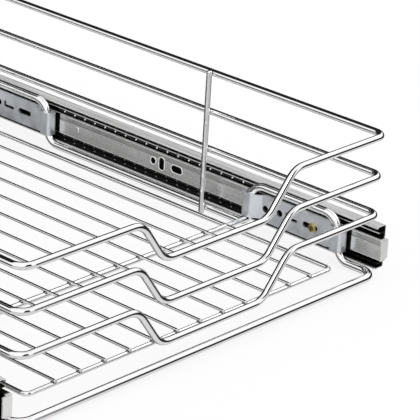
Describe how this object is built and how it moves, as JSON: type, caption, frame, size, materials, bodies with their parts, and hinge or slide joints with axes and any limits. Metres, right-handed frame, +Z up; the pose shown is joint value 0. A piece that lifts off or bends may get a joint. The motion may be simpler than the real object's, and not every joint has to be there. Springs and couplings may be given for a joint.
{
  "type": "pull-out basket",
  "caption": "Pull-out chromed wire basket with a grid floor and dipped front rails, hung on telescopic ball slides by hooked sheet brackets.",
  "frame": {"origin": "middle of the object's base: halfway across, halfway from front to back, at the uprights' feet", "axes": "+X to the right seen from the front, +Y to the back, +Z up; the basket pulls out along -Y"},
  "size_m": [0.412, 0.4972, 0.1227],
  "materials": {
    "chrome_wire": "polished",
    "slide_steel": "smooth",
    "bracket_zinc": "satin",
    "screw_brass": "satin",
    "cage_black": "matte",
    "ball_steel": "polished",
    "bumper_rubber": "matte"
  },
  "bodies": {
    "cabinet_members": {"right_outer_member": "slide_steel", "right_rear_bumper": "bumper_rubber", "left_outer_member": "slide_steel", "left_rear_bumper": "bumper_rubber"},
    "basket": {"base_frame": "chrome_wire", "lower_rail": "chrome_wire", "middle_rail": "chrome_wire", "top_rail": "chrome_wire", "right_side_upright": "chrome_wire", "left_side_upright": "chrome_wire", "right_back_upright": "chrome_wire", "left_back_upright": "chrome_wire", "grid_border": "chrome_wire", "floor_wires": "chrome_wire", "front_cross_wire": "chrome_wire", "rear_cross_wire": "chrome_wire", "right_front_bracket": "bracket_zinc", "left_front_bracket": "bracket_zinc", "right_rear_bracket": "bracket_zinc", "left_rear_bracket": "bracket_zinc", "bracket_screws": "screw_brass", "right_inner_member": "slide_steel", "left_inner_member": "slide_steel"},
    "right_middle": {"right_middle_member": "slide_steel"},
    "right_outer_cage": {"right_outer_ball_cage": "cage_black", "right_outer_balls": "ball_steel"},
    "right_inner_cage": {"right_inner_ball_cage": "cage_black", "right_inner_balls": "ball_steel"},
    "left_middle": {"left_middle_member": "slide_steel"},
    "left_outer_cage": {"left_outer_ball_cage": "cage_black", "left_outer_balls": "ball_steel"},
    "left_inner_cage": {"left_inner_ball_cage": "cage_black", "left_inner_balls": "ball_steel"}
  },
  "joints": [
    {"name": "basket_slide", "type": "slide", "parent": "cabinet_members", "child": "basket", "axis": [0, -1, 0], "range_m": [0, 0.47]},
    {"name": "right_middle_slide", "type": "slide", "parent": "cabinet_members", "child": "right_middle", "axis": [0, -1, 0], "range_m": [0, 0.235]},
    {"name": "right_outer_cage_slide", "type": "slide", "parent": "cabinet_members", "child": "right_outer_cage", "axis": [0, -1, 0], "range_m": [0, 0.1175]},
    {"name": "right_inner_cage_slide", "type": "slide", "parent": "cabinet_members", "child": "right_inner_cage", "axis": [0, -1, 0], "range_m": [0, 0.3525]},
    {"name": "left_middle_slide", "type": "slide", "parent": "cabinet_members", "child": "left_middle", "axis": [0, -1, 0], "range_m": [0, 0.235]},
    {"name": "left_outer_cage_slide", "type": "slide", "parent": "cabinet_members", "child": "left_outer_cage", "axis": [0, -1, 0], "range_m": [0, 0.1175]},
    {"name": "left_inner_cage_slide", "type": "slide", "parent": "cabinet_members", "child": "left_inner_cage", "axis": [0, -1, 0], "range_m": [0, 0.3525]}
  ],
  "couplings": [
    {"joint": "right_middle_slide", "follows": "basket_slide", "ratio": 0.5},
    {"joint": "right_outer_cage_slide", "follows": "basket_slide", "ratio": 0.25},
    {"joint": "right_inner_cage_slide", "follows": "basket_slide", "ratio": 0.75},
    {"joint": "left_middle_slide", "follows": "basket_slide", "ratio": 0.5},
    {"joint": "left_outer_cage_slide", "follows": "basket_slide", "ratio": 0.25},
    {"joint": "left_inner_cage_slide", "follows": "basket_slide", "ratio": 0.75}
  ]
}
